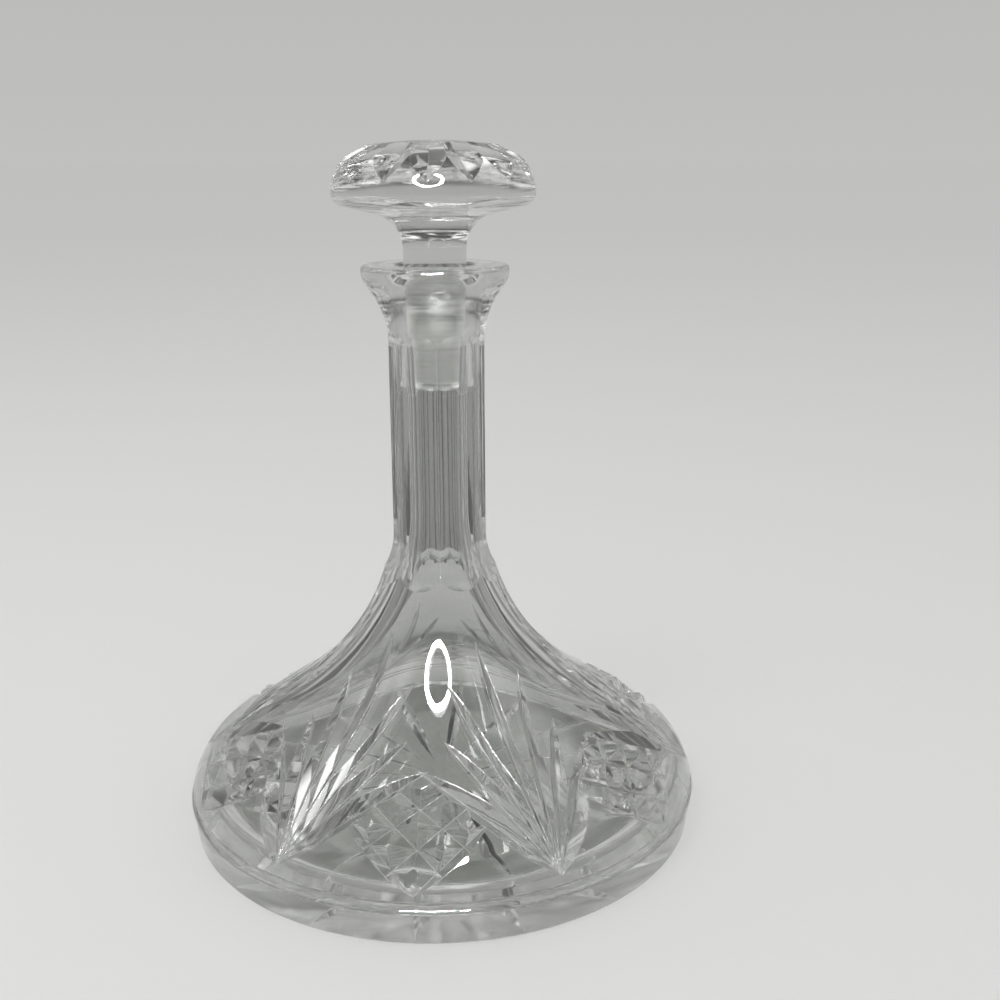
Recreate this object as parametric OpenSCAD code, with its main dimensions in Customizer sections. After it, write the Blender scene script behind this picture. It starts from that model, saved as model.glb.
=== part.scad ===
// Ship's decanter in cut glass: a broad low bowl that sweeps up into a panelled neck, and a solid
// mushroom stopper with a ground taper. Millimetres. The resting face is z = 0, the axis is Z, and
// the middle of one cut diamond faces -Y. Angles round the axis are counted from -Y towards +X.

/* [Foot and bowl] */
// Radius of the resting face's edge
foot_radius = 97.1; // [90:0.1:104]
// How far the band leans out, up to the radius where the shoulder's rounding stands upright
band_flare = 1.8; // [1.2:0.1:2.4]
// Height of the plain band round the foot
band_height = 12.2; // [11:0.1:13]
// Rounding of the resting edge
foot_edge = 1; // [0.5:0.1:1.5]
// Width of the ring groove above the band
groove_width = 4; // [3:0.1:4.6]
// Depth of the ring groove
groove_depth = 1.6; // [1:0.1:2]
// Radius of the rounding between band and shoulder
shoulder_round = 25; // [24:0.1:26]
// Height of the centre of that rounding
shoulder_centre = 8.85; // [8:0.05:9.6]
// Lean of the shoulder's cone from the upright
shoulder_lean = 56.8; // [56:0.1:57.6]
// Radius of the sweep above the cone
bowl_sweep = 115; // [108:0.5:120]
// Lean at which the bowl's sweep passes into the neck's sweep
sweep_joint = 40.3; // [38:0.1:43]
// Radius of the sweep into the neck
neck_sweep = 85.5; // [82:0.1:89]
// Height of the inside floor
floor_height = 9.5; // [8:0.1:11]
// Rounding between inside floor and wall
bowl_corner = 7; // [5:0.1:9]

/* [Neck and lip] */
// Radius of the round neck, before the panels are cut
neck_radius = 17.5; // [16.8:0.1:18.6]
// Radius of the bore below the stopper
bore_radius = 8.8; // [8.2:0.1:9]
// Height of the lip's top face
lip_height = 212; // [204:0.5:220]
// Radius of the lip
lip_radius = 26.7; // [25.5:0.1:28]
// Radius of the flare below the lip
flare_sweep = 30; // [27:0.1:33]
// Radius of the rounding between flare and lip
lip_round = 10.7; // [9.5:0.1:12]
// Rounding of the lip's upper edge
lip_edge = 1.8; // [1.2:0.1:2.4]
// Rounding of the mouth's inner edge
mouth_round = 6; // [4.5:0.1:7]
// Number of flat panels round the neck
panel_count = 8; // [6:2:10]
// Depth of a panel in the straight neck
panel_depth = 1.35; // [1.2:0.05:1.4]
// Angle of one ridge between panels from -Y
panel_turn = 6.5; // [0:0.5:20]
// Radius of a panel's arched lower end
panel_sweep = 27; // [24:0.5:30]
// How far below the start of the neck's sweep that end begins to lift
panel_drop = 11.2; // [10:0.1:12.4]
// Radius of a panel's arched upper end
panel_arch = 10; // [9:0.1:11]
// How far below the flare that end begins to lift
panel_lift = 1.6; // [1.2:0.1:2]

/* [Fans and diamonds] */
// Number of fans, and of the diamonds between them
fan_count = 6; // [5:1:7]
// Height of the point where a fan's leaves meet
fan_foot = 19.2; // [18.8:0.1:19.8]
// Height of the middle leaf's tip
leaf_tip_0 = 78; // [75:0.5:80]
// Height of the tips next to it
leaf_tip_1 = 66; // [64:0.5:68]
// Height of the tips beyond those
leaf_tip_2 = 51.5; // [50:0.5:53]
// Height where the outer leaves of two fans meet, over a diamond
diamond_top = 44.5; // [43.5:0.1:45.5]
// Height of a diamond's lower point
diamond_foot = 18; // [17.6:0.1:18.8]
// Height of a diamond's side points
diamond_side = 34.6; // [34:0.1:35.2]
// Half the angle of the mitre wheel
mitre_angle = 50; // [46:0.5:54]
// Radius of the mitre wheel, seen where the long leaves run out
mitre_wheel = 70; // [66:0.5:74]
// Half the angle of the wheel for the diamond's inner cuts
hatch_angle = 58; // [54:0.5:60]
// Depth of the diamond's inner cuts
hatch_depth = 2.5; // [2:0.1:2.8]

/* [Star under the foot] */
// Number of rays
star_rays = 16; // [12:2:20]
// Depth of a ray at its middle
star_depth = 2.2; // [1.6:0.1:2.6]
// Width of the plain ring the decanter stands on
rest_ring = 5; // [4:0.5:8]
// Radius of the plain middle
star_middle = 10; // [8:0.5:14]

/* [Stopper] */
// Height of the cap's top above the lip
cap_height = 42.6; // [40:0.2:45]
// Greatest radius of the cap
cap_radius = 36.1; // [34:0.1:38]
// Height of that radius above the lip
cap_girth = 24.7; // [24:0.1:25.4]
// Rounding above the greatest radius
cap_upper_round = 16.5; // [16:0.1:17]
// Rounding below the greatest radius
cap_lower_round = 4.5; // [4:0.1:5]
// Radius of the stem
stem_radius = 11.4; // [11:0.1:11.8]
// Radius of the cove under the cap
cap_cove = 12.3; // [11.5:0.1:13]
// Height of the cove's centre above the lip
cove_centre = 5.5; // [4.8:0.1:6.2]
// Depth of the plug below the lip's top face
plug_length = 44; // [38:0.5:48]
// Radius lost for each millimetre of the plug's length
plug_taper = 0.05; // [0.045:0.001:0.055]
// Space all round between plug and socket
seat_gap = 0.1; // [0.05:0.01:0.2]
// Number of notches round the cap
notch_count = 15; // [12:3:18]
// Half the angle of the wheel for the notches
notch_angle = 60; // [56:0.5:62]
// Height of a notch's lower point above the greatest radius
notch_foot = 4.3; // [3.8:0.1:4.8]
// Radius where a notch runs out on top
notch_top = 16; // [14:0.5:18]
// Angle of one notch from -Y
notch_turn = 3; // [-12:0.5:12]

/* [Hidden] */
$fn = 96;

// Outline of the bowl, from the foot up: rounding, cone, bowl's sweep, neck's sweep
round_at = [foot_radius + band_flare - shoulder_round, shoulder_centre];
cone_foot = round_at + shoulder_round * [cos(shoulder_lean), sin(shoulder_lean)];
sweep_gain = bowl_sweep - neck_sweep;
cone_top_r = neck_radius + neck_sweep + sweep_gain * cos(sweep_joint) - bowl_sweep * cos(shoulder_lean);
cone_top = [cone_top_r, cone_foot[1] + (cone_foot[0] - cone_top_r) / tan(shoulder_lean)];
bowl_at = cone_top + bowl_sweep * [cos(shoulder_lean), sin(shoulder_lean)];
neck_at = bowl_at - sweep_gain * [cos(sweep_joint), sin(sweep_joint)];
joint_at = neck_at - neck_sweep * [cos(sweep_joint), sin(sweep_joint)];
neck_foot = neck_at[1];

// Lip
flare_turn = acos(1 - (lip_radius - neck_radius) / (flare_sweep + lip_round));
flare_foot = lip_height - lip_edge - (flare_sweep + lip_round) * sin(flare_turn);
flare_at = [neck_radius + flare_sweep, flare_foot];
lip_at = [lip_radius - lip_round, lip_height - lip_edge];
flare_top = flare_at + flare_sweep * [-cos(flare_turn), sin(flare_turn)];

// Inside: the wall keeps the neck's thickness
wall = neck_radius - bore_radius;
cone_in = cone_foot - wall * [cos(shoulder_lean), sin(shoulder_lean)];
corner_shift = (cone_in[1] - bowl_corner * sin(shoulder_lean) - floor_height - bowl_corner) / cos(shoulder_lean);
corner_at = cone_in - bowl_corner * [cos(shoulder_lean), sin(shoulder_lean)]
    + corner_shift * [sin(shoulder_lean), -cos(shoulder_lean)];
corner_top = corner_at + bowl_corner * [cos(shoulder_lean), sin(shoulder_lean)];
plug_over = 2;
plug_edge = 0.8;
plug_end = stem_radius - (plug_length + plug_over) * plug_taper;
socket_over = 2;
socket_foot = lip_height - plug_length - socket_over;
socket_top = lip_height - mouth_round;

// Cuts
lead = 6;
cut_high = 7;
pitch = 360 / fan_count;
tips = [leaf_tip_0, leaf_tip_1, leaf_tip_2, diamond_top];
tip_share = [0, 0.7, 0.77, 1];
dips = [5.8, 2.6, 0.8, 0];
cross_depth = 0.4;
side_share = 0.6;
overrun = 4;
ray_overrun = 0.3;
end_turn = 53;
panel_reach = 14;
panel_spread = 0.85;

function skin(z) = z <= cone_foot[1] ? round_at[0] + sqrt(pow(shoulder_round, 2) - pow(z - shoulder_centre, 2))
    : z <= cone_top[1] ? cone_foot[0] - (z - cone_foot[1]) * tan(shoulder_lean)
    : z <= joint_at[1] ? bowl_at[0] - sqrt(pow(bowl_sweep, 2) - pow(bowl_at[1] - z, 2))
    : z <= neck_foot ? neck_at[0] - sqrt(pow(neck_sweep, 2) - pow(neck_foot - z, 2))
    : neck_radius;
function lean(z) = z <= cone_foot[1] ? asin((z - shoulder_centre) / shoulder_round)
    : z <= cone_top[1] ? shoulder_lean
    : z <= joint_at[1] ? asin((bowl_at[1] - z) / bowl_sweep)
    : z <= neck_foot ? asin((neck_foot - z) / neck_sweep)
    : 0;
function on_skin(z, turn) = [skin(z) * sin(turn), -skin(z) * cos(turn), z];
function facing(p) = let (l = lean(p[2]), a = atan2(p[0], -p[1])) [cos(l) * sin(a), -cos(l) * cos(a), sin(l)];
function clear_of(p) = (norm([p[0], p[1]]) - skin(p[2])) * cos(lean(p[2]));
function settle(p, n) = n == 0 ? p : settle(p - clear_of(p) * facing(p), n - 1);
function unit(v) = v / norm(v);

// Points along an arc, given by the directions from its centre at both ends
function bend(centre, radius, from, to, steps) = [
    for (i = [0 : steps])
        let (a = from + (to - from) * i / steps)
            centre + radius * [cos(a), sin(a)]
];

// The sweep from the cone up to the neck, at a depth below the skin
function sweep_points(depth) = concat(
    bend(bowl_at, bowl_sweep + depth, 180 + shoulder_lean, 180 + sweep_joint, 4),
    bend(neck_at, neck_sweep + depth, 180 + sweep_joint * 8 / 9, 180, 8)
);

// The sector of a circle between two points on it
module pie(centre, radius, p, q) {
    intersection() {
        translate(centre) circle(radius);
        polygon([centre, centre + 1.6 * (p - centre), centre + 1.6 * (q - centre)]);
    }
}

module outer_section() {
    edge_at = [foot_radius - foot_edge, foot_edge];
    difference() {
        union() {
            polygon(concat(
                [[0, 0], [edge_at[0], 0], [foot_radius, foot_edge]],
                bend(round_at, shoulder_round, lean(band_height), shoulder_lean, 10),
                sweep_points(0),
                [
                    [neck_radius, flare_foot],
                    flare_top,
                    [lip_radius, lip_at[1]],
                    [lip_radius - lip_edge, lip_height],
                    [0, lip_height],
                ]
            ));
            pie(edge_at, foot_edge, [edge_at[0], 0], [foot_radius, foot_edge]);
            pie(lip_at, lip_round, flare_top, [lip_radius, lip_at[1]]);
            pie([lip_radius - lip_edge, lip_at[1]], lip_edge, [lip_radius, lip_at[1]], [lip_radius - lip_edge, lip_height]);
        }
        pie(flare_at, flare_sweep, [neck_radius, flare_foot], flare_top);
        ring_groove();
    }
}

module ring_groove() {
    middle = band_height + groove_width / 2;
    translate([skin(middle), middle])
        polygon([[-groove_depth, 0], [groove_depth, -groove_width], [groove_depth, groove_width]]);
}

function socket_radius(z) = stem_radius - (lip_height + plug_over - z) * plug_taper + seat_gap;

module inner_section() {
    mouth_at = [socket_radius(socket_top) + mouth_round, socket_top];
    difference() {
        union() {
            polygon(concat(
                [[0, floor_height], [corner_at[0], floor_height], corner_top],
                sweep_points(wall),
                [
                    [bore_radius, socket_foot],
                    [socket_radius(socket_foot), socket_foot],
                    [socket_radius(socket_top), socket_top],
                    [mouth_at[0], lip_height],
                    [mouth_at[0], lip_height + 1],
                    [0, lip_height + 1],
                ]
            ));
            pie(corner_at, bowl_corner, [corner_at[0], floor_height], [corner_at[0] + bowl_corner, corner_at[1]]);
            pie(corner_at, bowl_corner, [corner_at[0] + bowl_corner, corner_at[1]], corner_top);
        }
        pie(mouth_at, mouth_round, [socket_radius(socket_top), socket_top], [mouth_at[0], lip_height]);
    }
}

// One flat panel's cutter, on +X: straight up the neck, arched at both ends. It ends beyond the skin.
module panel() {
    flat = neck_radius - panel_depth;
    foot = neck_foot - panel_drop;
    top = flare_foot - panel_lift;
    low = bend([flat + panel_sweep, foot], panel_sweep, 180 + end_turn, 180, 6);
    high = bend([flat + panel_arch, top], panel_arch, 180, 180 - end_turn, 6);
    reach = flat + panel_reach;
    rotate([90, 0, 0])
        linear_extrude(2 * panel_spread * flat * tan(360 / panel_count), center = true)
            polygon(concat(low, high, [[reach, high[6][1]], [reach, low[0][1]]]));
}

module panelled(odd) {
    difference() {
        if (odd) panelled(false);
        else rotate_extrude() outer_section();
        for (i = [odd ? 1 : 0 : 2 : panel_count - 1])
            rotate([0, 0, (i + 0.5) * 360 / panel_count + panel_turn - 90]) panel();
    }
}

// Sets a cut between two points of the skin: X runs along it, Y out of the glass
module along(p, q) {
    x = unit(q - p);
    n = facing(settle((p + q) / 2, 4));
    y = unit(n - (n * x) * x);
    z = cross(x, y);
    multmatrix([
        [x[0], y[0], z[0], p[0]],
        [x[1], y[1], z[1], p[1]],
        [x[2], y[2], z[2], p[2]],
    ]) children();
}

// A straight V cut along X, from -before to length
module straight_cut(length, half_angle, high, before) {
    translate([-before, 0, 0])
        rotate([90, 0, 90])
            linear_extrude(length + before)
                polygon([[0, 0], [high, high * tan(half_angle)], [high, -high * tan(half_angle)]]);
}

// A V cut that dips below the line between its ends and runs out along the wheel's own curve
module leaf_cut(length, dip) {
    root = sqrt(2 * length * mitre_wheel * sin(dip) - pow(length * sin(dip), 2));
    straight = length * cos(dip) - root;
    at_x = straight * cos(dip) + mitre_wheel * sin(dip);
    at_y = mitre_wheel * cos(dip) - straight * sin(dip);
    turn = dip + atan2(length - at_x, at_y) + overrun;
    wide = cut_high * tan(mitre_angle);
    rotate([0, 0, -dip]) {
        straight_cut(straight, mitre_angle, cut_high, lead);
        translate([straight, mitre_wheel, 0])
            rotate([0, 0, -90])
                rotate_extrude(angle = turn, $fn = 360)
                    polygon([[mitre_wheel, 0], [mitre_wheel - cut_high, wide], [mitre_wheel - cut_high, -wide]]);
    }
}

// Leaf number k of a fan, -3 to 3, in the fan that faces -Y
module leaf(k) {
    i = abs(k);
    p = on_skin(fan_foot, 0);
    tip = on_skin(tips[i], sign(k) * tip_share[i] * pitch / 2);
    q = i < 3 ? tip : tip - cross_depth * facing(tip);
    along(p, q)
        if (dips[i] > 0) leaf_cut(norm(q - p), dips[i]);
        else straight_cut(norm(q - p) + lead, mitre_angle, cut_high, lead);
}

module with_leaves(k) {
    difference() {
        if (k > -3) with_leaves(k - 1);
        else panelled(true);
        for (i = [0 : fan_count - 1])
            rotate([0, 0, (i + 0.5) * pitch]) leaf(k);
    }
}

// Cut number k of a diamond that faces -Y: two lower edges, then two cuts across each way
module diamond_cut(k) {
    way = k % 2 == 0 ? 1 : -1;
    side = way * side_share * pitch / 2;
    if (k < 2) {
        p = on_skin(diamond_foot, 0);
        q = on_skin(diamond_side, side);
        along(p, q) straight_cut(norm(q - p), mitre_angle, cut_high, lead);
    } else {
        share = k < 4 ? 1 / 3 : 2 / 3;
        p = on_skin(diamond_side + (diamond_foot - diamond_side) * share, side * (1 - share));
        q = on_skin(diamond_top + (diamond_side - diamond_top) * share, -side * share);
        along(p, q)
            translate([0, -hatch_depth, 0]) straight_cut(norm(q - p), hatch_angle, 2 * hatch_depth, 0);
    }
}

module with_diamonds(k) {
    difference() {
        if (k > 0) with_diamonds(k - 1);
        else with_leaves(3);
        for (i = [0 : fan_count - 1])
            rotate([0, 0, i * pitch]) diamond_cut(k);
    }
}

// One ray of the star, along +X on the resting face
module ray() {
    length = foot_radius - rest_ring - star_middle;
    radius = (pow(length / 2, 2) + pow(star_depth, 2)) / (2 * star_depth);
    half = asin(length / 2 / radius);
    high = 2 * star_depth;
    translate([star_middle + length / 2, 0, star_depth - radius])
        rotate([90, 0, 0])
            rotate([0, 0, 90 - half - ray_overrun])
                rotate_extrude(angle = 2 * (half + ray_overrun), $fn = 360)
                    polygon([[radius, 0], [radius - high, high * tan(mitre_angle)], [radius - high, -high * tan(mitre_angle)]]);
}

module decanter_body() {
    color([0.86, 0.9, 0.9])
        difference() {
            difference() {
                with_diamonds(5);
                for (i = [0 : star_rays - 1])
                    rotate([0, 0, i * 360 / star_rays - 90]) ray();
            }
            rotate_extrude() inner_section();
        }
}

module cap_section() {
    girth = lip_height + cap_girth;
    top = lip_height + cap_height;
    plug_foot = lip_height - plug_length;
    cove_at = [stem_radius + cap_cove, lip_height + cove_centre];
    lower_at = [cap_radius - cap_lower_round, girth];
    upper_at = [cap_radius - cap_upper_round, girth];
    // line that touches the cove and the lower rounding
    across = lower_at - cove_at;
    tilt = atan2(across[1], across[0]) + acos((cap_cove + cap_lower_round) / norm(across));
    up = [cos(tilt), sin(tilt)];
    cove_end = cove_at + cap_cove * up;
    under = lower_at - cap_lower_round * up;
    // dome on the axis that touches the upper rounding
    over = top - girth;
    dome = (over * over + pow(upper_at[0], 2) - pow(cap_upper_round, 2)) / (2 * (over - cap_upper_round));
    dome_at = [0, top - dome];
    dome_end = dome_at + dome * unit(upper_at - dome_at);
    difference() {
        union() {
            polygon([
                [0, plug_foot],
                [plug_end - plug_edge, plug_foot],
                [plug_end, plug_foot + plug_edge],
                [stem_radius, lip_height + plug_over],
                [stem_radius, cove_at[1]],
                cove_end,
                under,
                [cap_radius, girth],
                dome_end,
                [0, top],
            ]);
            pie(lower_at, cap_lower_round, under, [cap_radius, girth]);
            pie(upper_at, cap_upper_round, [cap_radius, girth], dome_end);
            intersection() {
                pie(dome_at, dome, dome_end, [0, top]);
                translate([0, girth]) square([cap_radius, over + 1]);
            }
        }
        pie(cove_at, cap_cove, [stem_radius, cove_at[1]], cove_end);
    }
}

// One notch of the cap, in the plane of +X
module notch() {
    girth = lip_height + cap_girth;
    top = lip_height + cap_height;
    upper_x = cap_radius - cap_upper_round;
    over = top - girth;
    dome = (over * over + pow(upper_x, 2) - pow(cap_upper_round, 2)) / (2 * (over - cap_upper_round));
    low = [upper_x + sqrt(pow(cap_upper_round, 2) - pow(notch_foot, 2)), girth + notch_foot];
    high = [notch_top, top - dome + sqrt(pow(dome, 2) - pow(notch_top, 2))];
    run = high - low;
    translate([low[0], 0, low[1]])
        rotate([0, -atan2(run[1], run[0]), 0])
            rotate([-90, 0, 0])
                straight_cut(norm(run) + lead, notch_angle, cut_high, lead);
}

module notched(k) {
    difference() {
        if (k > 0) notched(k - 1);
        else rotate_extrude() cap_section();
        for (i = [k : 3 : notch_count - 1])
            rotate([0, 0, i * 360 / notch_count + notch_turn - 90]) notch();
    }
}

module stopper() {
    color([0.86, 0.9, 0.9]) notched(2);
}

decanter_body();
stopper();
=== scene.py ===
"""Ship's decanter in cut crystal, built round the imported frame.

Lengths are in millimetres unless a name says so. Turns round the axis are counted from -Y towards +X.
"""

from math import acos, asin, atan2, cos, hypot, pi, radians, sin, sqrt, tan

import bmesh
import bpy
from mathutils import Matrix, Vector


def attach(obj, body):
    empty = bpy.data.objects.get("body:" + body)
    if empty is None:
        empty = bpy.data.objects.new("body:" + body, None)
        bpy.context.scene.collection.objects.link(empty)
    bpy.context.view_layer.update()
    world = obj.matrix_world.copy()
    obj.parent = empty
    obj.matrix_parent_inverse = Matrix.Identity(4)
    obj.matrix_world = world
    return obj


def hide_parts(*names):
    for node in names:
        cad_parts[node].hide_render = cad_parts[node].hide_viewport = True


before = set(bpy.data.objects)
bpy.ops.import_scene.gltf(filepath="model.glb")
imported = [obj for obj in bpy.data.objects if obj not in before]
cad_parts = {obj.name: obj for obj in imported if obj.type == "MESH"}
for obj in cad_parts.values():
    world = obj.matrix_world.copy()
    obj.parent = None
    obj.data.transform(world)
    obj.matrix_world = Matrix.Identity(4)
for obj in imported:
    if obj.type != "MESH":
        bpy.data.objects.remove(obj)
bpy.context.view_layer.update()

MM = 0.001

# Outline of the decanter, as the frame's solids have it.
# SHOULDER_LEAN and SWEEP_JOINT say how far the skin's normal points up
FOOT_RADIUS = 97.1
BAND_FLARE = 1.8
BAND_HEIGHT = 12.2
FOOT_EDGE = 1.0
GROOVE_WIDTH = 4.0
GROOVE_DEPTH = 1.6
SHOULDER_ROUND = 25.0
SHOULDER_CENTRE = 8.85
SHOULDER_LEAN = radians(56.8)
BOWL_SWEEP = 115.0
SWEEP_JOINT = radians(40.3)
NECK_SWEEP = 85.5
FLOOR_HEIGHT = 9.5
BOWL_CORNER = 7.0
NECK_RADIUS = 17.5
BORE_RADIUS = 8.8
LIP_HEIGHT = 212.0
LIP_RADIUS = 26.7
FLARE_SWEEP = 30.0
LIP_ROUND = 10.7
LIP_EDGE = 1.8
MOUTH_ROUND = 6.0
PANEL_COUNT = 8
PANEL_GROUPS = 2
PANEL_DEPTH = 1.35
PANEL_TURN = radians(6.5)
PANEL_SWEEP = 27.0
PANEL_DROP = 11.2
PANEL_ARCH = 10.0
PANEL_LIFT = 1.6
PANEL_REACH = 14.0
PANEL_SPREAD = 0.85
PANEL_END = asin(0.8)

# Cutting: fans and diamonds on the shoulder, and the star under the foot.
# Leaves are listed from the middle of a fan outwards. A tip has a height and a share of half the pitch
# between fans, and a dip is in degrees
FAN_COUNT = 6
FAN_FOOT = 19.2
LEAF_TIPS = (78.0, 66.0, 51.5, 44.5)
TIP_SHARE = (0.0, 0.7, 0.77, 1.0)
LEAF_DIPS = (5.8, 2.6, 0.8, 0.0)
DIAMOND_TOP = 44.5
DIAMOND_FOOT = 18.0
DIAMOND_SIDE = 34.6
SIDE_SHARE = 0.6
DIAMOND_CUTS = 6
CROSS_DEPTH = 0.4
MITRE_ANGLE = radians(50)
MITRE_WHEEL = 70.0
HATCH_ANGLE = radians(58)
HATCH_DEPTH = 2.5
CUT_HIGH = 7.0
LEAD = 6.0
LEAF_RUN_OUT = radians(4)
STAR_RAYS = 16
STAR_DEPTH = 2.2
REST_RING = 5.0
STAR_MIDDLE = 10.0
RAY_RUN_OUT = radians(0.3)
WORN_INSIDE = 60.0

# Stopper. Heights are above the lip, NOTCH_FOOT is above the cap's girth, and NOTCH_TOP is a radius
CAP_HEIGHT = 42.6
CAP_RADIUS = 36.1
CAP_GIRTH = 24.7
CAP_UPPER_ROUND = 16.5
CAP_LOWER_ROUND = 4.5
STEM_RADIUS = 11.4
CAP_COVE = 12.3
COVE_CENTRE = 5.5
PLUG_LENGTH = 44.0
PLUG_TAPER = 0.05
PLUG_OVER = 2.0
PLUG_EDGE = 0.8
SOCKET_OVER = 2.0
SEAT_GAP = 0.1
NOTCH_COUNT = 15
NOTCH_GROUPS = 3
NOTCH_ANGLE = radians(60)
NOTCH_FOOT = 4.3
NOTCH_TOP = 16.0
NOTCH_TURN = radians(3)

# Fineness of the meshes
LATHE_STEPS = 288
WHEEL_STEPS = 20
PANEL_STEPS = 40
SETTLE_STEPS = 4
SAME_POINT = 0.01
ON_AXIS = 1e-6
CRISP_ANGLE = radians(20)

# Material slots of the glass meshes
SKIN, FACET, GROUND, WORN = range(4)


def polar(radius, angle):
    return Vector((radius * cos(angle), radius * sin(angle)))


# Points worked out from the sizes above, in the plane of radius and height
ROUND_AT = Vector((FOOT_RADIUS + BAND_FLARE - SHOULDER_ROUND, SHOULDER_CENTRE))
CONE_FOOT = ROUND_AT + polar(SHOULDER_ROUND, SHOULDER_LEAN)
SWEEP_GAIN = BOWL_SWEEP - NECK_SWEEP
CONE_TOP_R = NECK_RADIUS + NECK_SWEEP + SWEEP_GAIN * cos(SWEEP_JOINT) - BOWL_SWEEP * cos(SHOULDER_LEAN)
CONE_TOP = Vector((CONE_TOP_R, CONE_FOOT.y + (CONE_FOOT.x - CONE_TOP_R) / tan(SHOULDER_LEAN)))
BOWL_AT = CONE_TOP + polar(BOWL_SWEEP, SHOULDER_LEAN)
NECK_AT = BOWL_AT - polar(SWEEP_GAIN, SWEEP_JOINT)
JOINT_Z = NECK_AT.y - NECK_SWEEP * sin(SWEEP_JOINT)
WALL = NECK_RADIUS - BORE_RADIUS
FLARE_TURN = acos(1 - (LIP_RADIUS - NECK_RADIUS) / (FLARE_SWEEP + LIP_ROUND))
FLARE_FOOT = LIP_HEIGHT - LIP_EDGE - (FLARE_SWEEP + LIP_ROUND) * sin(FLARE_TURN)
PITCH = 2 * pi / FAN_COUNT


def skin(z):
    """Radius of the uncut outside at a height."""
    if z <= CONE_FOOT.y:
        return ROUND_AT.x + sqrt(SHOULDER_ROUND ** 2 - (z - SHOULDER_CENTRE) ** 2)
    if z <= CONE_TOP.y:
        return CONE_FOOT.x - (z - CONE_FOOT.y) * tan(SHOULDER_LEAN)
    if z <= JOINT_Z:
        return BOWL_AT.x - sqrt(BOWL_SWEEP ** 2 - (BOWL_AT.y - z) ** 2)
    if z <= NECK_AT.y:
        return NECK_AT.x - sqrt(NECK_SWEEP ** 2 - (NECK_AT.y - z) ** 2)
    return NECK_RADIUS


def lean(z):
    """How far the outside's normal points up at a height."""
    if z <= CONE_FOOT.y:
        return asin((z - SHOULDER_CENTRE) / SHOULDER_ROUND)
    if z <= CONE_TOP.y:
        return SHOULDER_LEAN
    if z <= JOINT_Z:
        return asin((BOWL_AT.y - z) / BOWL_SWEEP)
    if z <= NECK_AT.y:
        return asin((NECK_AT.y - z) / NECK_SWEEP)
    return 0.0


def on_skin(z, turn):
    """A point on the outside, at a height and a turn."""
    return Vector((skin(z) * sin(turn), -skin(z) * cos(turn), z))


def facing(point):
    """Outward normal of the uncut outside near a point."""
    up = lean(point.z)
    turn = atan2(point.x, -point.y)
    return Vector((cos(up) * sin(turn), -cos(up) * cos(turn), sin(up)))


def settle(point):
    """The point of the outside nearest to a point."""
    for _ in range(SETTLE_STEPS):
        off = (hypot(point.x, point.y) - skin(point.z)) * cos(lean(point.z))
        point = point - off * facing(point)
    return point


# Outlines. The last number that a line, arc or hollow takes is its count of steps

def arc(centre, radius, start, end, steps):
    """Points on an arc, both ends included."""
    return [centre + polar(radius, start + (end - start) * i / steps) for i in range(steps + 1)]


def line(start, end, steps):
    return [start.lerp(end, i / steps) for i in range(steps + 1)]


class Outline:
    """A lathe outline: points, and the material slot of the stretch that ends at each point."""

    def __init__(self):
        self.points = []
        self.slots = []

    def add(self, points, slot=SKIN):
        for point in points:
            if not self.points or (point - self.points[-1]).length > SAME_POINT:
                self.points.append(point)
                self.slots.append(slot)


def socket_radius(z):
    return STEM_RADIUS - (LIP_HEIGHT + PLUG_OVER - z) * PLUG_TAPER + SEAT_GAP


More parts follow.
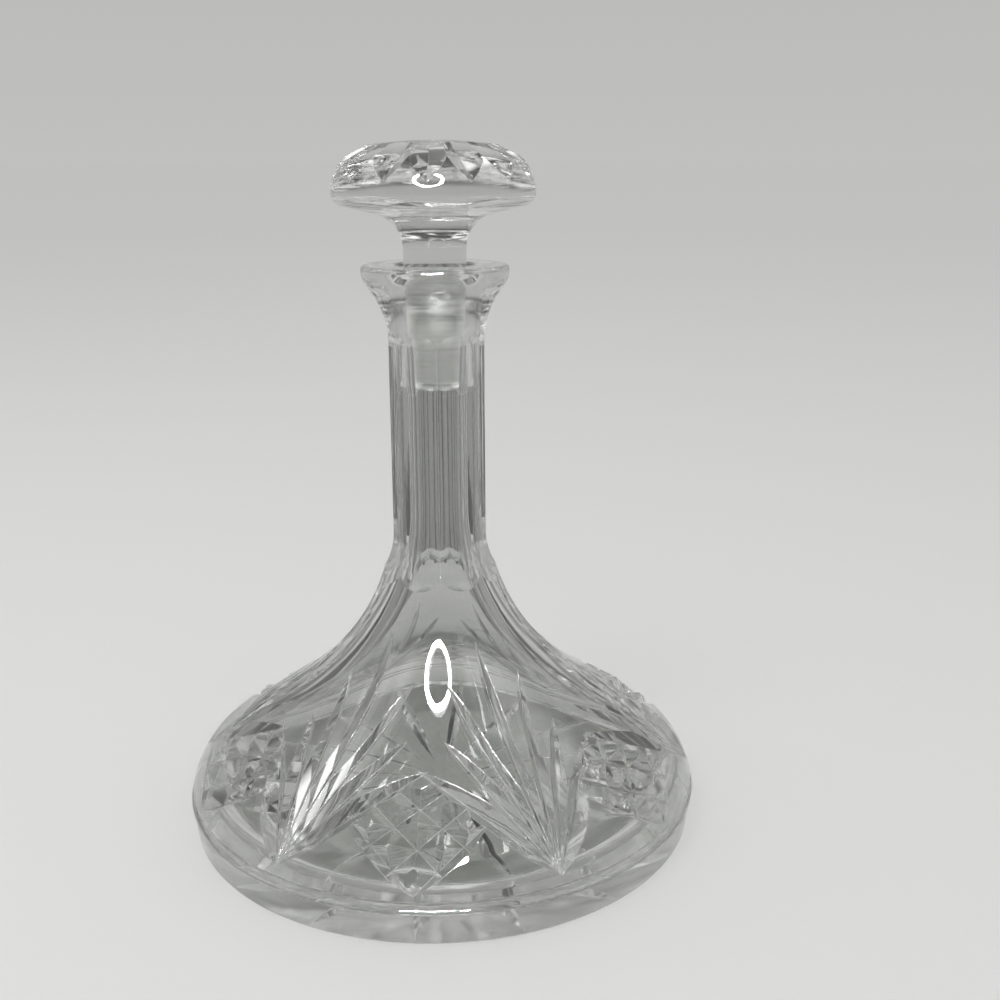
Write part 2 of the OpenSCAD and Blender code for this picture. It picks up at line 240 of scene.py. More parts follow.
def body_outline():
    """The uncut bottle's skin, from the axis under the foot to the axis on the inside floor."""
    outline = Outline()
    foot = Vector((FOOT_RADIUS - FOOT_EDGE, 0))
    worn = Vector((WORN_INSIDE, 0))
    outline.add(line(Vector((0, 0)), worn, 8))
    outline.add(line(worn, foot, 6), WORN)
    outline.add(arc(foot + Vector((0, FOOT_EDGE)), FOOT_EDGE, -pi / 2, 0, 6))
    groove_low = BAND_HEIGHT
    groove_high = BAND_HEIGHT + GROOVE_WIDTH
    low = Vector((skin(groove_low), groove_low))
    high = Vector((skin(groove_high), groove_high))
    outline.add(line(Vector((FOOT_RADIUS, FOOT_EDGE)), low, 4))
    outline.add(hollow(low, high, GROOVE_DEPTH, 14))
    outline.add(arc(ROUND_AT, SHOULDER_ROUND, lean(high.y), SHOULDER_LEAN, 36))
    outline.add(line(CONE_FOOT, CONE_TOP, 16))
    outline.add(arc(BOWL_AT, BOWL_SWEEP, pi + SHOULDER_LEAN, pi + SWEEP_JOINT, 24))
    outline.add(arc(NECK_AT, NECK_SWEEP, pi + SWEEP_JOINT, pi, 44))
    outline.add(line(Vector((NECK_RADIUS, NECK_AT.y)), Vector((NECK_RADIUS, FLARE_FOOT)), 24))
    flare_at = Vector((NECK_RADIUS + FLARE_SWEEP, FLARE_FOOT))
    lip_at = Vector((LIP_RADIUS - LIP_ROUND, LIP_HEIGHT - LIP_EDGE))
    outline.add(arc(flare_at, FLARE_SWEEP, pi, pi - FLARE_TURN, 20))
    outline.add(arc(lip_at, LIP_ROUND, -FLARE_TURN, 0, 16))
    outline.add(arc(Vector((LIP_RADIUS - LIP_EDGE, lip_at.y)), LIP_EDGE, 0, pi / 2, 8))
    socket_top = LIP_HEIGHT - MOUTH_ROUND
    mouth_at = Vector((socket_radius(socket_top) + MOUTH_ROUND, socket_top))
    outline.add(line(Vector((LIP_RADIUS - LIP_EDGE, LIP_HEIGHT)), Vector((mouth_at.x, LIP_HEIGHT)), 3))
    outline.add(arc(mouth_at, MOUTH_ROUND, pi / 2, pi, 12))
    socket_foot = LIP_HEIGHT - PLUG_LENGTH - SOCKET_OVER
    ground_foot = socket_foot + SOCKET_OVER + PLUG_EDGE
    ground_end = Vector((socket_radius(ground_foot), ground_foot))
    outline.add(line(Vector((socket_radius(socket_top), socket_top)), ground_end, 16), GROUND)
    outline.add(line(ground_end, Vector((socket_radius(socket_foot), socket_foot)), 2))
    outline.add(line(Vector((BORE_RADIUS, socket_foot)), Vector((BORE_RADIUS, NECK_AT.y)), 16))
    outline.add(arc(NECK_AT, NECK_SWEEP + WALL, pi, pi + SWEEP_JOINT, 40))
    outline.add(arc(BOWL_AT, BOWL_SWEEP + WALL, pi + SWEEP_JOINT, pi + SHOULDER_LEAN, 20))
    along = Vector((sin(SHOULDER_LEAN), -cos(SHOULDER_LEAN)))
    cone_in = CONE_FOOT - polar(WALL + BOWL_CORNER, SHOULDER_LEAN)
    corner_at = cone_in + along * (cone_in.y - FLOOR_HEIGHT - BOWL_CORNER) / cos(SHOULDER_LEAN)
    cone_end = corner_at + polar(BOWL_CORNER, SHOULDER_LEAN)
    outline.add(line(CONE_TOP - polar(WALL, SHOULDER_LEAN), cone_end, 10))
    outline.add(arc(corner_at, BOWL_CORNER, SHOULDER_LEAN, -pi / 2, 20))
    outline.add(line(Vector((corner_at.x, FLOOR_HEIGHT)), Vector((0, FLOOR_HEIGHT)), 14))
    return outline


def hollow(low, high, depth, steps):
    """A round hollow from low to high, so deep below the straight line between them."""
    half = (high - low).length / 2
    radius = (half * half + depth * depth) / (2 * depth)
    out = Vector((high.y - low.y, low.x - high.x)).normalized()
    centre = (low + high) / 2 + out * (radius - depth)
    first = atan2(low.y - centre.y, low.x - centre.x)
    last = atan2(high.y - centre.y, high.x - centre.x)
    if first < 0:
        first += 2 * pi
    return arc(centre, radius, first, last, steps)


def stopper_outline():
    """The uncut stopper's skin, from the axis under the plug to the axis on top."""
    outline = Outline()
    girth = LIP_HEIGHT + CAP_GIRTH
    top = LIP_HEIGHT + CAP_HEIGHT
    foot = LIP_HEIGHT - PLUG_LENGTH
    plug_end = STEM_RADIUS - (PLUG_LENGTH + PLUG_OVER) * PLUG_TAPER
    cove_at = Vector((STEM_RADIUS + CAP_COVE, LIP_HEIGHT + COVE_CENTRE))
    lower_at = Vector((CAP_RADIUS - CAP_LOWER_ROUND, girth))
    upper_at = Vector((CAP_RADIUS - CAP_UPPER_ROUND, girth))
    across = lower_at - cove_at
    tilt = atan2(across.y, across.x) + acos((CAP_COVE + CAP_LOWER_ROUND) / across.length)
    dome = dome_radius()
    dome_at = Vector((0, top - dome))
    dome_turn = atan2(upper_at.y - dome_at.y, upper_at.x)
    edge = Vector((plug_end - PLUG_EDGE, foot))
    outline.add(line(Vector((0, foot)), edge, 4))
    outline.add(line(edge, Vector((plug_end, foot + PLUG_EDGE)), 1))
    plug_top = Vector((STEM_RADIUS, LIP_HEIGHT + PLUG_OVER))
    seat_foot = Vector((plug_end, foot + PLUG_EDGE))
    seat_top = seat_foot.lerp(plug_top, (PLUG_LENGTH - MOUTH_ROUND) / PLUG_LENGTH)
    outline.add(line(seat_foot, seat_top, 16), GROUND)
    outline.add(line(seat_top, plug_top, 4))
    outline.add(line(plug_top, Vector((STEM_RADIUS, cove_at.y)), 2))
    outline.add(arc(cove_at, CAP_COVE, pi, tilt, 20))
    outline.add(line(cove_at + polar(CAP_COVE, tilt), lower_at - polar(CAP_LOWER_ROUND, tilt), 10))
    outline.add(arc(lower_at, CAP_LOWER_ROUND, tilt - pi, 0, 14))
    outline.add(arc(upper_at, CAP_UPPER_ROUND, 0, dome_turn, 30))
    outline.add(arc(dome_at, dome, dome_turn, pi / 2, 16))
    return outline


def dome_radius():
    """Radius of the cap's top, which touches the upper rounding."""
    over = CAP_HEIGHT - CAP_GIRTH
    inner = CAP_RADIUS - CAP_UPPER_ROUND
    return (over ** 2 + inner ** 2 - CAP_UPPER_ROUND ** 2) / (2 * (over - CAP_UPPER_ROUND))


# Meshes

def new_object(name, bm):
    bmesh.ops.recalc_face_normals(bm, faces=bm.faces)
    mesh = bpy.data.meshes.new(name)
    bm.to_mesh(mesh)
    bm.free()
    obj = bpy.data.objects.new(name, mesh)
    bpy.context.scene.collection.objects.link(obj)
    return obj


def lathe(name, outline):
    """Turns an outline that starts and ends on the axis."""
    bm = bmesh.new()
    rings = []
    for point in outline.points:
        if point.x < ON_AXIS:
            rings.append([bm.verts.new((0, 0, point.y * MM))])
            continue
        rings.append([
            bm.verts.new((point.x * sin(turn) * MM, -point.x * cos(turn) * MM, point.y * MM))
            for turn in (2 * pi * i / LATHE_STEPS for i in range(LATHE_STEPS))
        ])
    for lower, upper, slot in zip(rings, rings[1:], outline.slots[1:]):
        for i in range(LATHE_STEPS):
            j = (i + 1) % LATHE_STEPS
            corners = [lower[i % len(lower)], lower[j % len(lower)]]
            corners += [upper[j % len(upper)], upper[i % len(upper)]]
            face = bm.faces.new(list(dict.fromkeys(corners)))
            face.material_index = slot
    return new_object(name, bm)


class Place:
    """A cut's own frame: X along the cut, Y out of the glass, Z across."""

    def __init__(self, start, end, out):
        self.start = start
        self.x = (end - start).normalized()
        self.y = (out - out.dot(self.x) * self.x).normalized()
        self.z = self.x.cross(self.y)

    def point(self, x, y, z=0.0):
        return self.start + x * self.x + y * self.y + z * self.z


def on_glass(start, end):
    """The frame of a cut between two points of the outside."""
    return Place(start, end, facing(settle((start + end) / 2)))


def v_cut(bm, place, path, half_angle, high):
    """Sweeps the wheel's V along a path, which is pairs of a bottom and a direction of opening."""
    wide = high * tan(half_angle)
    sections = []
    for (x, y), (open_x, open_y) in path:
        top_x = x + high * open_x
        top_y = y + high * open_y
        corners = [place.point(x, y), place.point(top_x, top_y, wide), place.point(top_x, top_y, -wide)]
        sections.append([bm.verts.new(corner * MM) for corner in corners])
    for first, second in zip(sections, sections[1:]):
        for i in range(3):
            j = (i + 1) % 3
            bm.faces.new((first[i], first[j], second[j], second[i]))
    bm.faces.new(sections[0][::-1])
    bm.faces.new(sections[-1])


def straight_path(length, before):
    """A cut of even depth that starts so far before its place."""
    return [((-before, 0), (0, 1)), ((length, 0), (0, 1))]


def leaf_path(length, dip):
    """Straight below the line between the ends, then out along the wheel's own curve."""
    dip = radians(dip)
    root = sqrt(2 * length * MITRE_WHEEL * sin(dip) - (length * sin(dip)) ** 2)
    straight = length * cos(dip) - root
    at_x = straight * cos(dip) + MITRE_WHEEL * sin(dip)
    at_y = MITRE_WHEEL * cos(dip) - straight * sin(dip)
    turn = dip + atan2(length - at_x, at_y) + LEAF_RUN_OUT
    path = [((-LEAD, 0), (0, 1))]
    for i in range(WHEEL_STEPS + 1):
        angle = turn * i / WHEEL_STEPS
        bottom = (straight + MITRE_WHEEL * sin(angle), MITRE_WHEEL * (1 - cos(angle)))
        path.append((bottom, (-sin(angle), cos(angle))))

    def dipped(pair):
        return (pair[0] * cos(dip) + pair[1] * sin(dip), pair[1] * cos(dip) - pair[0] * sin(dip))

    return [(dipped(bottom), dipped(opening)) for bottom, opening in path]


def add_leaf(bm, k, turn):
    """Leaf number k of a fan, -3 to 3, with the fan's middle at turn."""
    i = abs(k)
    side = (k > 0) - (k < 0)
    start = on_skin(FAN_FOOT, turn)
    tip = on_skin(LEAF_TIPS[i], turn + side * TIP_SHARE[i] * PITCH / 2)
    if LEAF_DIPS[i] > 0:
        place = on_glass(start, tip)
        v_cut(bm, place, leaf_path((tip - start).length, LEAF_DIPS[i]), MITRE_ANGLE, CUT_HIGH)
        return
    tip = tip - CROSS_DEPTH * facing(tip)
    v_cut(bm, on_glass(start, tip), straight_path((tip - start).length + LEAD, LEAD), MITRE_ANGLE, CUT_HIGH)


def add_diamond_cut(bm, k, turn):
    """Cut number k of a diamond: two lower edges, then two cuts across each way."""
    side = (1 if k % 2 == 0 else -1) * SIDE_SHARE * PITCH / 2
    if k < 2:
        start = on_skin(DIAMOND_FOOT, turn)
        end = on_skin(DIAMOND_SIDE, turn + side)
        v_cut(bm, on_glass(start, end), straight_path((end - start).length, LEAD), MITRE_ANGLE, CUT_HIGH)
        return
    share = 1 / 3 if k < 4 else 2 / 3
    start = on_skin(DIAMOND_SIDE + (DIAMOND_FOOT - DIAMOND_SIDE) * share, turn + side * (1 - share))
    end = on_skin(DIAMOND_TOP + (DIAMOND_SIDE - DIAMOND_TOP) * share, turn - side * share)
    place = on_glass(start, end)
    place.start = place.point(0, -HATCH_DEPTH)
    v_cut(bm, place, straight_path((end - start).length, 0), HATCH_ANGLE, 2 * HATCH_DEPTH)


def add_panel(bm, turn):
    """One flat panel's cutter: straight up the neck, arched at both ends."""
    flat = NECK_RADIUS - PANEL_DEPTH
    foot = NECK_AT.y - PANEL_DROP
    top = FLARE_FOOT - PANEL_LIFT
    reach = flat + PANEL_REACH
    half_width = PANEL_SPREAD * flat * tan(2 * pi / PANEL_COUNT)
    low = arc(Vector((flat + PANEL_SWEEP, foot)), PANEL_SWEEP, pi + PANEL_END, pi, PANEL_STEPS)
    high = arc(Vector((flat + PANEL_ARCH, top)), PANEL_ARCH, pi, pi - PANEL_END, PANEL_STEPS // 2)
    outline = low + high + [Vector((reach, high[-1].y)), Vector((reach, low[0].y))]
    out = Vector((sin(turn), -cos(turn), 0))
    across = Vector((cos(turn), sin(turn), 0))
    sides = []
    for shift in (-half_width, half_width):
        points = [out * p.x + across * shift + Vector((0, 0, p.y)) for p in outline]
        sides.append([bm.verts.new(point * MM) for point in points])
    for i in range(len(outline)):
        j = (i + 1) % len(outline)
        bm.faces.new((sides[0][i], sides[0][j], sides[1][j], sides[1][i]))
    bm.faces.new(sides[0][::-1])
    bm.faces.new(sides[1])


def add_ray(bm, turn):
    """One ray of the star under the foot."""
    length = FOOT_RADIUS - REST_RING - STAR_MIDDLE
    radius = ((length / 2) ** 2 + STAR_DEPTH ** 2) / (2 * STAR_DEPTH)
    half = asin(length / 2 / radius) + RAY_RUN_OUT
    out = Vector((sin(turn), -cos(turn), 0))
    middle = out * (STAR_MIDDLE + length / 2)
    place = Place(middle, middle + out, Vector((0, 0, -1)))
    path = []
    for i in range(WHEEL_STEPS + 1):
        angle = half * (2 * i / WHEEL_STEPS - 1)
        bottom = (radius * sin(angle), radius - STAR_DEPTH - radius * cos(angle))
        path.append((bottom, (-sin(angle), cos(angle))))
    v_cut(bm, place, path, MITRE_ANGLE, 2 * STAR_DEPTH)


def add_notch(bm, turn):
    """One notch of the cap."""
    girth = LIP_HEIGHT + CAP_GIRTH
    dome = dome_radius()
    low_r = CAP_RADIUS - CAP_UPPER_ROUND + sqrt(CAP_UPPER_ROUND ** 2 - NOTCH_FOOT ** 2)
    high_z = LIP_HEIGHT + CAP_HEIGHT - dome + sqrt(dome ** 2 - NOTCH_TOP ** 2)
    out = Vector((sin(turn), -cos(turn), 0))
    low = out * low_r + Vector((0, 0, girth + NOTCH_FOOT))
    high = out * NOTCH_TOP + Vector((0, 0, high_z))
    place = Place(low, high, out)
    v_cut(bm, place, straight_path((high - low).length + LEAD, LEAD), NOTCH_ANGLE, CUT_HIGH)


def cut(glass, add_cuts):
    """Takes a group of cutters that don't meet off a piece."""
    bm = bmesh.new()
    add_cuts(bm)
    for face in bm.faces:
        face.material_index = FACET
    tool = new_object("wheel", bm)
    for material in glass.data.materials:
        tool.data.materials.append(material)
    boolean = glass.modifiers.new("cut", "BOOLEAN")
    boolean.operation = "DIFFERENCE"
    boolean.solver = "MANIFOLD"
    boolean.object = tool
    graph = bpy.context.evaluated_depsgraph_get()
    old = glass.data
    glass.data = bpy.data.meshes.new_from_object(glass.evaluated_get(graph))
    glass.modifiers.clear()
    bpy.data.meshes.remove(old)
    wheel = tool.data
    bpy.data.objects.remove(tool)
    bpy.data.meshes.remove(wheel)


def spaced(add, count, first=0.0):
    """A group of cuts, evenly spaced round the axis."""
    def add_all(bm):
        for i in range(count):
            add(bm, first + 2 * pi * i / count)
    return add_all


def crisp(glass):
    """Shades a piece smooth, with sharp edges at cuts and corners."""
    bm = bmesh.new()
    bm.from_mesh(glass.data)
    for face in bm.faces:
        face.smooth = True
    for edge in bm.edges:
        slots = {face.material_index for face in edge.link_faces}
        edge.smooth = len(slots) == 1 and edge.calc_face_angle(0) < CRISP_ANGLE
    bm.to_mesh(glass.data)
    bm.free()
    glass.data.name = glass.name


def make_body():
    glass = lathe("cut_glass_body", body_outline())
    dress(glass, GLASS)
    # neighbours meet, so they are cut in turn
    for first in range(PANEL_GROUPS):
        turn = PANEL_TURN + (first + 0.5) * 2 * pi / PANEL_COUNT
        cut(glass, spaced(add_panel, PANEL_COUNT // PANEL_GROUPS, turn))
    outer = len(LEAF_TIPS) - 1
    for k in range(-outer, outer + 1):
        cut(glass, spaced(lambda bm, turn: add_leaf(bm, k, turn), FAN_COUNT, PITCH / 2))
    for k in range(DIAMOND_CUTS):
        cut(glass, spaced(lambda bm, turn: add_diamond_cut(bm, k, turn), FAN_COUNT))
    cut(glass, spaced(add_ray, STAR_RAYS))
    crisp(glass)
    return glass


def make_stopper():
    glass = lathe("cut_glass_stopper", stopper_outline())
    dress(glass, GLASS[:WORN])
    # neighbours meet, so they are cut in turn
    for first in range(NOTCH_GROUPS):
        turn = NOTCH_TURN + first * 2 * pi / NOTCH_COUNT
        cut(glass, spaced(add_notch, NOTCH_COUNT // NOTCH_GROUPS, turn))
    crisp(glass)
    return glass


# Materials

GLASS_COLOUR = (0.77, 0.776, 0.763, 1)
GLASS_IOR = 1.545
# how much of the lamps' and the floor's light a surface lets through, and its colour
CLEAR_PASS = 0.91
WORN_PASS = 0.6
PASS_COLOUR = (1, 1.005, 0.995)
GRAIN_DETAIL = 3
GRAIN_SPAN = (0.3, 0.7)
# wear of the edges: its width, the cosines of the turn over which it becomes matt, and how matt it gets
EDGE_WEAR = 0.45
EDGE_TURN = (0.985, 0.9)
EDGE_ROUGH = 0.3
EDGE_SAMPLES = 4


def grain(tree, cells, height, smooth, rough):
    """Fine relief of so many cells a metre along x, y and z, with its roughness, and worn edges."""
    place = tree.nodes.new("ShaderNodeTexCoord")
    stretch = tree.nodes.new("ShaderNodeMapping")
    stretch.inputs["Scale"].default_value = cells
    noise = tree.nodes.new("ShaderNodeTexNoise")
    noise.inputs["Scale"].default_value = 1
    noise.inputs["Detail"].default_value = GRAIN_DETAIL
    bump = tree.nodes.new("ShaderNodeBump")
    bump.inputs["Distance"].default_value = height * MM
    spread = tree.nodes.new("ShaderNodeMapRange")
    spread.inputs["From Min"].default_value = GRAIN_SPAN[0]
    spread.inputs["From Max"].default_value = GRAIN_SPAN[1]
    spread.inputs["To Min"].default_value = smooth
    spread.inputs["To Max"].default_value = rough
    tree.links.new(place.outputs["Object"], stretch.inputs["Vector"])
    tree.links.new(stretch.outputs[0], noise.inputs["Vector"])
    tree.links.new(noise.outputs["Fac"], bump.inputs["Height"])
    tree.links.new(noise.outputs["Fac"], spread.inputs["Value"])
    shader = tree.nodes["Principled BSDF"]
    worn = tree.nodes.new("ShaderNodeBevel")
    worn.samples = EDGE_SAMPLES
    worn.inputs["Radius"].default_value = EDGE_WEAR * MM
    tree.links.new(worn.outputs[0], bump.inputs["Normal"])
    tree.links.new(bump.outputs[0], shader.inputs["Normal"])
    rubbed = tree.nodes.new("ShaderNodeMapRange")
    rubbed.inputs["From Min"].default_value = EDGE_TURN[0]
    rubbed.inputs["From Max"].default_value = EDGE_TURN[1]
    rubbed.inputs["To Max"].default_value = EDGE_ROUGH
    face = tree.nodes.new("ShaderNodeNewGeometry")
    turn = tree.nodes.new("ShaderNodeVectorMath")
    turn.operation = "DOT_PRODUCT"
    tree.links.new(face.outputs["Normal"], turn.inputs[0])
    tree.links.new(worn.outputs[0], turn.inputs[1])
    tree.links.new(turn.outputs["Value"], rubbed.inputs["Value"])
    both = tree.nodes.new("ShaderNodeMath")
    both.operation = "MAXIMUM"
    tree.links.new(spread.outputs[0], both.inputs[0])
    tree.links.new(rubbed.outputs[0], both.inputs[1])
    tree.links.new(both.outputs[0], shader.inputs["Roughness"])


def crystal(name, cells, height, smooth, rough, passed=CLEAR_PASS):
    """Clear lead glass. Lamps and the floor's own light pass straight through, with a little loss."""
    material = bpy.data.materials.new(name)
    material.use_nodes = True
    tree = material.node_tree
    shader = tree.nodes["Principled BSDF"]
    shader.inputs["Base Color"].default_value = GLASS_COLOUR
    shader.inputs["Transmission Weight"].default_value = 1
    shader.inputs["IOR"].default_value = GLASS_IOR
    grain(tree, cells, height, smooth, rough)
    surface = shader.outputs[0]
    path = tree.nodes.new("ShaderNodeLightPath")
    for ray in ("Is Shadow Ray", "Is Diffuse Ray"):
        clear = tree.nodes.new("ShaderNodeBsdfTransparent")
        clear.inputs["Color"].default_value = [passed * part for part in PASS_COLOUR] + [1]
        mix = tree.nodes.new("ShaderNodeMixShader")
        tree.links.new(path.outputs[ray], mix.inputs[0])
        tree.links.new(surface, mix.inputs[1])
        tree.links.new(clear.outputs[0], mix.inputs[2])
        surface = mix.outputs[0]
    tree.links.new(surface, tree.nodes["Material Output"].inputs["Surface"])
    return material


# In the order of the material slots: cells, height of the relief, least and greatest roughness, light passed
GLASS = [
    crystal("polished_crystal", (45, 45, 30), 0.05, 0.0, 0.0),
    crystal("wheel_cut_crystal", (350, 350, 14), 0.02, 0.0, 0.03),
    crystal("ground_crystal", (60, 60, 1600), 0.008, 0.1, 0.24),
    crystal("worn_crystal", (300, 300, 300), 0.01, 0.06, 0.16, WORN_PASS),
]


def dress(glass, finishes):
    for material in finishes:
        glass.data.materials.append(material)


# Pieces

body = make_body()
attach(body, "decanter")
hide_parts("decanter_body")
stopper = make_stopper()
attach(stopper, "stopper")
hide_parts("stopper")

# Stage

BOUNCES = 64

scene = bpy.context.scene
scene.view_settings.view_transform = "Standard"
scene.cycles.max_bounces = BOUNCES
scene.cycles.transmission_bounces = BOUNCES
scene.cycles.glossy_bounces = BOUNCES

# The floor lies a hair below the foot, so that the glass has air under it
FLOOR_DEPTH = 0.3
FLOOR_RADIUS = 60000
FLOOR_STEPS = 96
FLOOR_COLOUR = (0.62, 0.62, 0.613, 1)
FLOOR_ROUGHNESS = 0.9


def make_floor():
    bm = bmesh.new()
    bmesh.ops.create_circle(bm, cap_ends=True, segments=FLOOR_STEPS, radius=FLOOR_RADIUS * MM)
    floor = new_object("floor", bm)
    material = bpy.data.materials.new("pale_floor")
    material.use_nodes = True
    shader = material.node_tree.nodes["Principled BSDF"]
    shader.inputs["Base Color"].default_value = FLOOR_COLOUR
    shader.inputs["Specular IOR Level"].default_value = 0
    shader.inputs["Roughness"].default_value = FLOOR_ROUGHNESS
    floor.data.materials.append(material)
    floor.location.z = -FLOOR_DEPTH * MM


# Surround: levels by the height of a direction, from 0 at the horizon to 1 overhead
SURROUND = ((0.0, 0.53), (0.3, 0.46), (0.42, 0.12), (0.6, 0.1), (1.0, 0.1))
SURROUND_BLUE = 0.985
AMBIENT = 0.85
# Soft boxes: the heights and the distances aside over which they fade in
BOX_HEIGHT = (0.58, 0.68)
BOX_SIDE = (0.38, 0.48)
BOX_LEVEL = 1.4

# The colour sockets of a Mix node
COLOUR_A, COLOUR_B, COLOUR_OUT = 6, 7, 2


def rising(tree, value, span):
    """0 below the span and 1 above it."""
    node = tree.nodes.new("ShaderNodeMapRange")
    node.inputs["From Min"].default_value = span[0]
    node.inputs["From Max"].default_value = span[1]
    tree.links.new(value, node.inputs["Value"])
    return node.outputs[0]


def make_world():
    """A pale surround with a soft box high on each side, which the camera and the glass see.

    All that is matt gets even light instead.
    """
    world = bpy.data.worlds.new("studio")
    scene.world = world
    world.use_nodes = True
    tree = world.node_tree
    place = tree.nodes.new("ShaderNodeTexCoord")
    split = tree.nodes.new("ShaderNodeSeparateXYZ")
    ramp = tree.nodes.new("ShaderNodeValToRGB")
    tree.links.new(place.outputs["Generated"], split.inputs[0])
    tree.links.new(split.outputs["Z"], ramp.inputs[0])
    stops = ramp.color_ramp.elements
    while len(stops) < len(SURROUND):
        stops.new(0.5)
    for stop, (height, level) in zip(stops, SURROUND):
        stop.position = height
        stop.color = (level, level, SURROUND_BLUE * level, 1)
    aside = tree.nodes.new("ShaderNodeMath")
    aside.operation = "ABSOLUTE"
    tree.links.new(split.outputs["X"], aside.inputs[0])
    box = tree.nodes.new("ShaderNodeMath")
    box.operation = "MULTIPLY"
    tree.links.new(rising(tree, split.outputs["Z"], BOX_HEIGHT), box.inputs[0])
    tree.links.new(rising(tree, aside.outputs[0], BOX_SIDE), box.inputs[1])
    whole = tree.nodes.new("ShaderNodeMix")
    whole.data_type = "RGBA"
    tree.links.new(box.outputs[0], whole.inputs["Factor"])
    tree.links.new(ramp.outputs[0], whole.inputs[COLOUR_A])
    whole.inputs[COLOUR_B].default_value = (BOX_LEVEL, BOX_LEVEL, BOX_LEVEL, 1)
    surround = tree.nodes["Background"]
    tree.links.new(whole.outputs[COLOUR_OUT], surround.inputs["Color"])
    even = tree.nodes.new("ShaderNodeBackground")
    even.inputs["Color"].default_value = (AMBIENT, AMBIENT, AMBIENT, 1)
    path = tree.nodes.new("ShaderNodeLightPath")
    seen = path.outputs["Is Camera Ray"]
    for name in ("Is Glossy Ray", "Is Transmission Ray"):
        either = tree.nodes.new("ShaderNodeMath")
        either.operation = "MAXIMUM"
        tree.links.new(seen, either.inputs[0])
        tree.links.new(path.outputs[name], either.inputs[1])
        seen = either.outputs[0]
    mix = tree.nodes.new("ShaderNodeMixShader")
    tree.links.new(seen, mix.inputs[0])
    tree.links.new(even.outputs[0], mix.inputs[1])
    tree.links.new(surround.outputs[0], mix.inputs[2])
    tree.links.new(mix.outputs[0], tree.nodes["World Output"].inputs["Surface"])


RING_AT = Vector((3.9, -281, 398))
RING_AIM = Vector((0, 0, 110))
RING_SIZE = 180
RING_WATTS = 16.0
RING_INSIDE = 0.8
# Middle of a lamp in its own coordinates
DISK_MIDDLE = (0.5, 0.5, 0)


def ring_lamp():
    """A ring of light in front of the decanter and above it."""
    data = bpy.data.lights.new("ring_lamp", "AREA")
    data.shape = "DISK"
    data.size = RING_SIZE * MM
    data.energy = RING_WATTS
    data.use_nodes = True
    tree = data.node_tree
    across = tree.nodes.new("ShaderNodeNewGeometry")
    away = tree.nodes.new("ShaderNodeVectorMath")
    away.operation = "DISTANCE"
    away.inputs[1].default_value = DISK_MIDDLE
    ring = tree.nodes.new("ShaderNodeMath")
    ring.operation = "GREATER_THAN"
    ring.inputs[1].default_value = RING_INSIDE / 2
    tree.links.new(across.outputs["Parametric"], away.inputs[0])
    tree.links.new(away.outputs["Value"], ring.inputs[0])
    tree.links.new(ring.outputs[0], tree.nodes["Emission"].inputs["Strength"])
    lamp = bpy.data.objects.new("ring_lamp", data)
    lamp.location = RING_AT * MM
    lamp.rotation_euler = (RING_AIM - RING_AT).to_track_quat("-Z", "Y").to_euler()
    lamp.visible_camera = False
    lamp.visible_diffuse = False
    scene.collection.objects.link(lamp)


KEY_AT = Vector((-600, -1000, 1700))
KEY_SIZE = 850
KEY_WATTS = 16.0


def key_lamp():
    """A soft lamp from the upper left, for the shadow on the floor."""
    data = bpy.data.lights.new("key_lamp", "AREA")
    data.shape = "DISK"
    data.size = KEY_SIZE * MM
    data.energy = KEY_WATTS
    lamp = bpy.data.objects.new("key_lamp", data)
    lamp.location = KEY_AT * MM
    lamp.rotation_euler = (RING_AIM - KEY_AT).to_track_quat("-Z", "Y").to_euler()
    lamp.visible_camera = False
    lamp.visible_glossy = False
    lamp.visible_transmission = False
    scene.collection.objects.link(lamp)


# Flags and boards: degrees from straight behind, distance, width, foot, top and felt
VIEW_TURN = radians(6.5)
DARK, GREY = range(2)
FELT = (("dark_felt", 0.15), ("grey_felt", 0.4))
FLAGS = (
    (17.6, 200, 125, 22, 133, GREY),
    (11, 190, 15, 22, 133, DARK), (27, 190, 12, 22, 133, DARK),
    (68, 200, 115, 22, 160, GREY),
    (47, 190, 22, 22, 160, DARK), (75, 190, 16, 22, 160, DARK),
    (135, 190, 24, 2, 160, DARK),
)


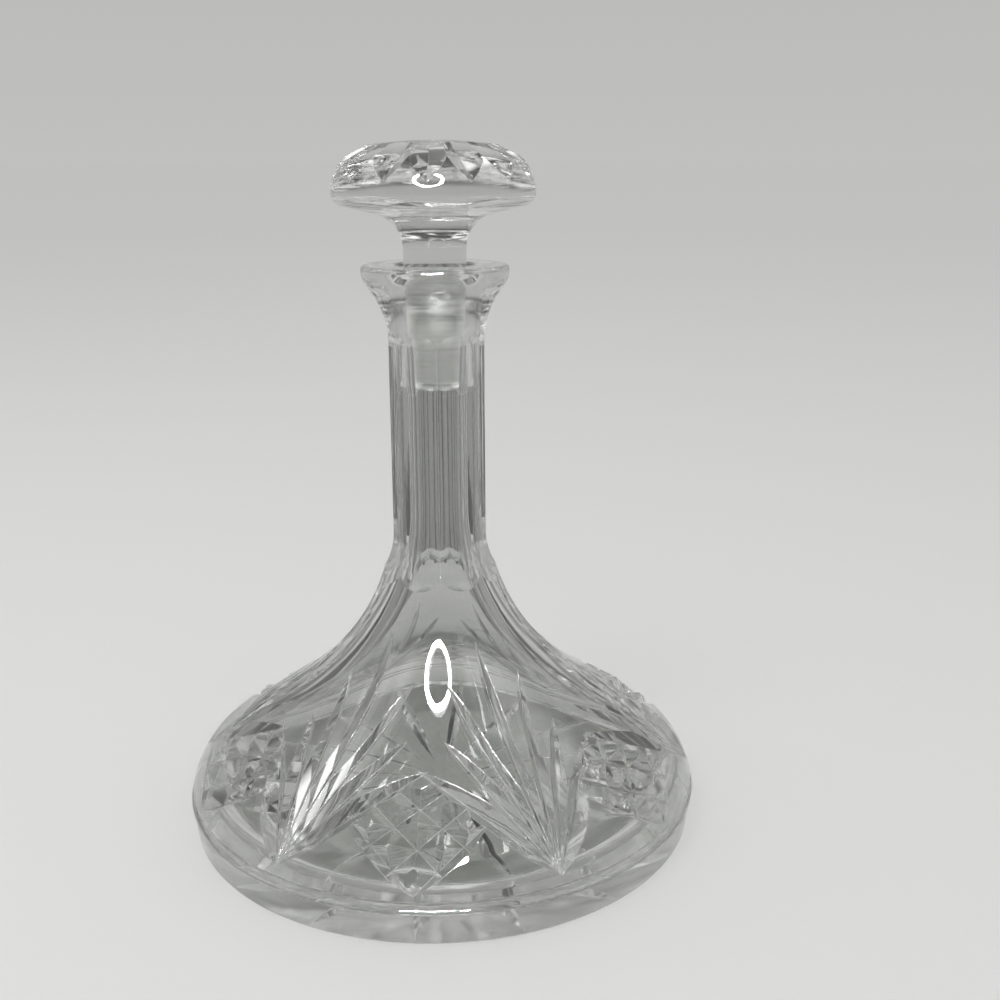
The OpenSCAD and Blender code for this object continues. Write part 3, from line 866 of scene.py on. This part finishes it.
def make_flags():
    """Dark flags and grey boards round the decanter, which give the clear glass its lines."""
    bm = bmesh.new()
    mirrored = [(-flag[0], *flag[1:]) for flag in FLAGS]
    for degrees, away, width, foot, top, felt in (*FLAGS, *mirrored):
        turn = radians(degrees) + VIEW_TURN
        middle = Vector((-sin(turn), cos(turn), 0)) * away + Vector((0, 0, foot))
        across = Vector((cos(turn), sin(turn), 0)) * width / 2
        up = Vector((0, 0, top - foot))
        corners = (middle - across, middle + across, middle + across + up, middle - across + up)
        face = bm.faces.new([bm.verts.new(corner * MM) for corner in corners])
        face.material_index = felt
    flags = new_object("flags", bm)
    for name, level in FELT:
        material = bpy.data.materials.new(name)
        material.use_nodes = True
        shader = material.node_tree.nodes["Principled BSDF"]
        shader.inputs["Base Color"].default_value = (level, level, level, 1)
        shader.inputs["Roughness"].default_value = 1
        shader.inputs["Specular IOR Level"].default_value = 0
        flags.data.materials.append(material)
    flags.visible_camera = False
    flags.visible_diffuse = False
    flags.visible_shadow = False


# Camera: angles are in radians, lens and sensor as a camera states them
EYE = Vector((0, -436.44, 248.32))
YAW = 0.0526
PITCH_DOWN = 0.2777
ROLL = 0.0037
SENSOR = 36
LENS = 43.2
CLIP_START = 10


def make_camera():
    data = bpy.data.cameras.new("camera")
    data.sensor_width = SENSOR
    data.lens = LENS
    data.clip_start = CLIP_START * MM
    camera = bpy.data.objects.new("camera", data)
    forward = Vector((sin(YAW) * cos(PITCH_DOWN), cos(YAW) * cos(PITCH_DOWN), -sin(PITCH_DOWN)))
    right = Vector((cos(YAW), -sin(YAW), 0))
    down = forward.cross(right)
    level_right = cos(ROLL) * right + sin(ROLL) * down
    level_down = cos(ROLL) * down - sin(ROLL) * right
    basis = Matrix((level_right, -level_down, -forward)).transposed().to_4x4()
    camera.matrix_world = Matrix.Rotation(VIEW_TURN, 4, "Z") @ Matrix.Translation(EYE * MM) @ basis
    scene.collection.objects.link(camera)
    scene.camera = camera


make_floor()
make_flags()
make_world()
ring_lamp()
key_lamp()
make_camera()

bpy.context.view_layer.update()
